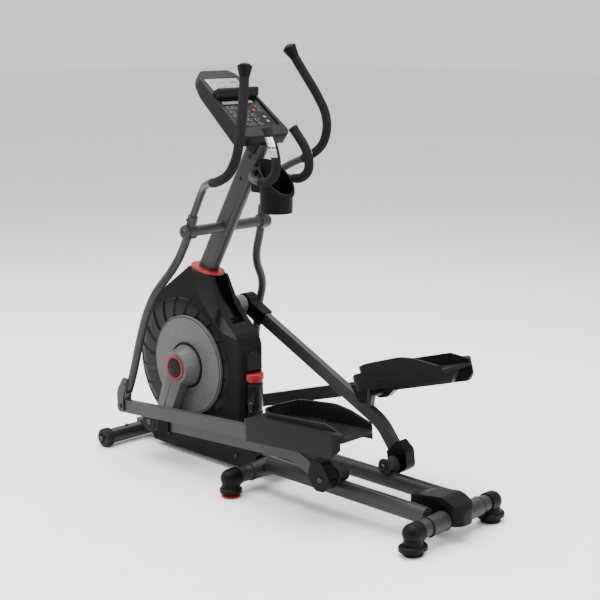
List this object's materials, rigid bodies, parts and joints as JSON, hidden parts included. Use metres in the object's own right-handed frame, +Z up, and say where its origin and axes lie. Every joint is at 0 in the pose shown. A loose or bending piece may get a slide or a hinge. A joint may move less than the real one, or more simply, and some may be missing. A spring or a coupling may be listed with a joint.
{
  "type": "elliptical trainer",
  "caption": "Front-drive elliptical trainer with roller legs on twin rails, swinging handles, tray foot plates, tilted console, cup holder and floor stabilisers.",
  "frame": {"origin": "on the floor, half way between the front and rear stabilisers, on the centre plane", "axes": "+X to the rear (rail end), +Y to the user right, +Z up"},
  "size_m": [1.713, 0.6, 1.6196],
  "materials": {
    "frame_paint": "satin",
    "grey_paint": "satin",
    "black_plastic": "fine texture",
    "gloss_black": "gloss",
    "silver_plastic": "satin, speckled",
    "red_plastic": "gloss",
    "foam_black": "matt foam",
    "rubber_black": "matt",
    "steel": "brushed",
    "cast_iron": "machined",
    "screen_grey": "clear lens",
    "smoke_bottle": "translucent"
  },
  "bodies": {
    "frame": {"front_stabiliser": "frame_paint", "mid_stabiliser": "frame_paint", "rear_stabiliser": "frame_paint", "foot_caps": "black_plastic", "rail_left": "frame_paint", "rail_right": "frame_paint", "rear_cover": "black_plastic", "main_frame": "frame_paint", "lower_cover": "black_plastic", "mast": "grey_paint", "mast_collar": "red_plastic", "pivot_tube": "grey_paint", "shroud_left": "black_plastic", "shroud_right": "black_plastic", "shroud_top": "gloss_black", "drive_belt": "rubber_black", "console_body": "black_plastic", "console_screen": "screen_grey", "key_panel": "black_plastic", "reading_ledge": "black_plastic", "fixed_handlebar": "frame_paint", "fixed_grips": "foam_black", "cup_holder": "black_plastic", "power_inlet": "black_plastic", "fasteners": "steel"},
    "crank": {"crank_axle": "steel", "crank_arm_left": "silver_plastic", "crank_arm_right": "silver_plastic", "crank_discs": "silver_plastic", "crank_caps": "red_plastic", "drive_pulley": "cast_iron"},
    "flywheel": {"flywheel": "cast_iron"},
    "bottle": {"water_bottle": "smoke_bottle", "bottle_cap": "red_plastic"},
    "button_start": {"button_start": "black_plastic"},
    "button_stop": {"button_stop": "red_plastic"},
    "button_up": {"button_up": "black_plastic"},
    "button_down": {"button_down": "black_plastic"},
    "wheel_left": {"wheel_left": "rubber_black"},
    "mid_foot_left": {"mid_foot_left": "red_plastic"},
    "rear_foot_left": {"rear_foot_left": "rubber_black"},
    "swing_left": {"swing_arm_left": "grey_paint", "handle_tube_left": "grey_paint", "handle_grip_left": "foam_black"},
    "leg_left": {"leg_left": "grey_paint", "leg_covers_left": "black_plastic"},
    "pedal_left": {"pedal_arm_left": "grey_paint", "foot_plate_left": "black_plastic"},
    "roller_left": {"roller_left": "rubber_black"},
    "wheel_right": {"wheel_right": "rubber_black"},
    "mid_foot_right": {"mid_foot_right": "red_plastic"},
    "rear_foot_right": {"rear_foot_right": "rubber_black"},
    "swing_right": {"swing_arm_right": "grey_paint", "handle_tube_right": "grey_paint", "handle_grip_right": "foam_black"},
    "leg_right": {"leg_right": "grey_paint", "leg_covers_right": "black_plastic"},
    "pedal_right": {"pedal_arm_right": "grey_paint", "foot_plate_right": "black_plastic"},
    "roller_right": {"roller_right": "rubber_black"}
  },
  "joints": [
    {"name": "left_swing", "type": "hinge", "parent": "frame", "child": "swing_left", "pos_m": [-0.308, -0.185, 0.938], "axis": [0, -1, 0], "range_deg": [-14, 19]},
    {"name": "right_swing", "type": "hinge", "parent": "frame", "child": "swing_right", "pos_m": [-0.308, 0.185, 0.938], "axis": [0, -1, 0], "range_deg": [-19, 14]},
    {"name": "left_leg_slide", "type": "slide", "parent": "frame", "child": "leg_left", "axis": [1, 0, 0], "range_m": [-0.1779, 0.2408]},
    {"name": "right_leg_slide", "type": "slide", "parent": "frame", "child": "leg_right", "axis": [1, 0, 0], "range_m": [-0.2573, 0.1901]},
    {"name": "left_pedal_hinge", "type": "hinge", "parent": "leg_left", "child": "pedal_left", "pos_m": [0.12486, -0.2, 0.24903], "axis": [0, -1, 0], "range_deg": [-6.18, 8.28]},
    {"name": "right_pedal_hinge", "type": "hinge", "parent": "leg_right", "child": "pedal_right", "pos_m": [0.27576, 0.2, 0.35436], "axis": [0, -1, 0], "range_deg": [-4.1, 3.1]},
    {"name": "left_roller_spin", "type": "hinge", "parent": "leg_left", "child": "roller_left", "pos_m": [0.36863, -0.095, 0.142], "axis": [0, 1, 0], "continuous": true},
    {"name": "right_roller_spin", "type": "hinge", "parent": "leg_right", "child": "roller_right", "pos_m": [0.43632, 0.095, 0.142], "axis": [0, 1, 0], "continuous": true},
    {"name": "crank_spin", "type": "hinge", "parent": "frame", "child": "crank", "pos_m": [-0.468, 0, 0.378], "axis": [0, 1, 0], "continuous": true},
    {"name": "flywheel_spin", "type": "hinge", "parent": "frame", "child": "flywheel", "pos_m": [-0.554, -0.03, 0.255], "axis": [0, 1, 0], "continuous": true},
    {"name": "left_wheel_spin", "type": "hinge", "parent": "frame", "child": "wheel_left", "pos_m": [-0.807, -0.222, 0.038], "axis": [0, 1, 0], "continuous": true},
    {"name": "left_mid_foot_adjust", "type": "slide", "parent": "frame", "child": "mid_foot_left", "axis": [0, 0, -1], "range_m": [0, 0.012]},
    {"name": "left_rear_foot_adjust", "type": "slide", "parent": "frame", "child": "rear_foot_left", "axis": [0, 0, -1], "range_m": [0, 0.012]},
    {"name": "right_wheel_spin", "type": "hinge", "parent": "frame", "child": "wheel_right", "pos_m": [-0.807, 0.222, 0.038], "axis": [0, 1, 0], "continuous": true},
    {"name": "right_mid_foot_adjust", "type": "slide", "parent": "frame", "child": "mid_foot_right", "axis": [0, 0, -1], "range_m": [0, 0.012]},
    {"name": "right_rear_foot_adjust", "type": "slide", "parent": "frame", "child": "rear_foot_right", "axis": [0, 0, -1], "range_m": [0, 0.012]},
    {"name": "bottle_pull", "type": "slide", "parent": "frame", "child": "bottle", "axis": [1, 0, 0], "range_m": [0, 0.12]},
    {"name": "button_start_press", "type": "slide", "parent": "frame", "child": "button_start", "axis": [-0.6032, 0, -0.7976], "range_m": [0, 0.0012], "stiffness_N_per_m": 900, "springref_m": -0.001},
    {"name": "button_stop_press", "type": "slide", "parent": "frame", "child": "button_stop", "axis": [-0.6032, 0, -0.7976], "range_m": [0, 0.0012], "stiffness_N_per_m": 900, "springref_m": -0.001},
    {"name": "button_up_press", "type": "slide", "parent": "frame", "child": "button_up", "axis": [-0.6032, 0, -0.7976], "range_m": [0, 0.0012], "stiffness_N_per_m": 900, "springref_m": -0.001},
    {"name": "button_down_press", "type": "slide", "parent": "frame", "child": "button_down", "axis": [-0.6032, 0, -0.7976], "range_m": [0, 0.0012], "stiffness_N_per_m": 900, "springref_m": -0.001}
  ],
  "couplings": [
    {"joint": "right_swing", "follows": "left_swing", "ratio": -1},
    {"joint": "left_leg_slide", "follows": "left_swing", "m_per_rad": 0.72},
    {"joint": "right_leg_slide", "follows": "left_swing", "m_per_rad": -0.77},
    {"joint": "left_pedal_hinge", "follows": "left_swing", "ratio": 0.42},
    {"joint": "right_pedal_hinge", "follows": "left_swing", "ratio": -0.2},
    {"joint": "left_roller_spin", "follows": "left_swing", "ratio": 35.122},
    {"joint": "right_roller_spin", "follows": "left_swing", "ratio": -37.561},
    {"joint": "flywheel_spin", "follows": "crank_spin", "ratio": 5.5}
  ]
}
